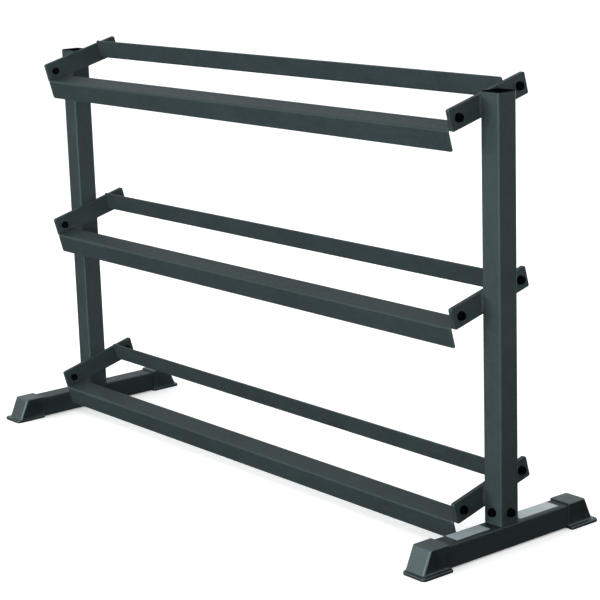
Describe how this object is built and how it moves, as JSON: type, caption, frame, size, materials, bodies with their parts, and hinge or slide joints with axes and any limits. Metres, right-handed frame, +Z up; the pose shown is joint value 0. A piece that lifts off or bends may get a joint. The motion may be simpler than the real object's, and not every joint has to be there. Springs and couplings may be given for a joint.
{
  "type": "dumbbell rack",
  "caption": "Free-standing dumbbell rack: two square-tube end frames with rubber-capped feet, joined by sloping bolted shelves, each with a front seat rail and a rear stop rail.",
  "frame": {"origin": "on the floor under the middle of the rack", "axes": "+X along the rack's length towards the end that has the label plates, -Y the front that the user faces and the shelves slope down to, +Z up"},
  "size_m": [1.7286, 0.554, 1.0498],
  "materials": {
    "powder_coat": "dark slate-grey textured powder coat",
    "black_rubber": "moulded matt rubber",
    "black_plastic": "matt moulded plastic",
    "black_steel": "black oxide, satin",
    "blank_label": "blank satin label film"
  },
  "bodies": {
    "root": {"foot_tube_left": "powder_coat", "foot_spigot_left": "powder_coat", "upright_left": "powder_coat", "upright_plug_left": "black_plastic", "upright_bolt_front_left": "black_steel", "upright_bolt_outer_left": "black_steel", "foot_cap_front_left": "black_rubber", "foot_cap_rear_left": "black_rubber", "foot_tube_right": "powder_coat", "foot_spigot_right": "powder_coat", "upright_right": "powder_coat", "upright_plug_right": "black_plastic", "upright_bolt_front_right": "black_steel", "upright_bolt_outer_right": "black_steel", "foot_cap_front_right": "black_rubber", "foot_cap_rear_right": "black_rubber", "front_rail_bottom": "powder_coat", "rear_rail_bottom": "powder_coat", "shelf_bracket_bottom_left": "powder_coat", "shelf_end_plate_bottom_left": "powder_coat", "shelf_bolt_bottom_left_front": "black_steel", "shelf_nut_bottom_left_front": "black_steel", "shelf_bolt_bottom_left_rear": "black_steel", "shelf_nut_bottom_left_rear": "black_steel", "shelf_bracket_bottom_right": "powder_coat", "shelf_end_plate_bottom_right": "powder_coat", "shelf_bolt_bottom_right_front": "black_steel", "shelf_nut_bottom_right_front": "black_steel", "shelf_bolt_bottom_right_rear": "black_steel", "shelf_nut_bottom_right_rear": "black_steel", "front_rail_middle": "powder_coat", "rear_rail_middle": "powder_coat", "shelf_bracket_middle_left": "powder_coat", "shelf_end_plate_middle_left": "powder_coat", "shelf_bolt_middle_left_front": "black_steel", "shelf_nut_middle_left_front": "black_steel", "shelf_bolt_middle_left_rear": "black_steel", "shelf_nut_middle_left_rear": "black_steel", "shelf_bracket_middle_right": "powder_coat", "shelf_end_plate_middle_right": "powder_coat", "shelf_bolt_middle_right_front": "black_steel", "shelf_nut_middle_right_front": "black_steel", "shelf_bolt_middle_right_rear": "black_steel", "shelf_nut_middle_right_rear": "black_steel", "front_rail_top": "powder_coat", "rear_rail_top": "powder_coat", "shelf_bracket_top_left": "powder_coat", "shelf_end_plate_top_left": "powder_coat", "shelf_bolt_top_left_front": "black_steel", "shelf_nut_top_left_front": "black_steel", "shelf_bolt_top_left_rear": "black_steel", "shelf_nut_top_left_rear": "black_steel", "shelf_bracket_top_right": "powder_coat", "shelf_end_plate_top_right": "powder_coat", "shelf_bolt_top_right_front": "black_steel", "shelf_nut_top_right_front": "black_steel", "shelf_bolt_top_right_rear": "black_steel", "shelf_nut_top_right_rear": "black_steel", "label_plate_front_right": "blank_label", "label_plate_rear_right": "blank_label"}
  },
  "joints": []
}
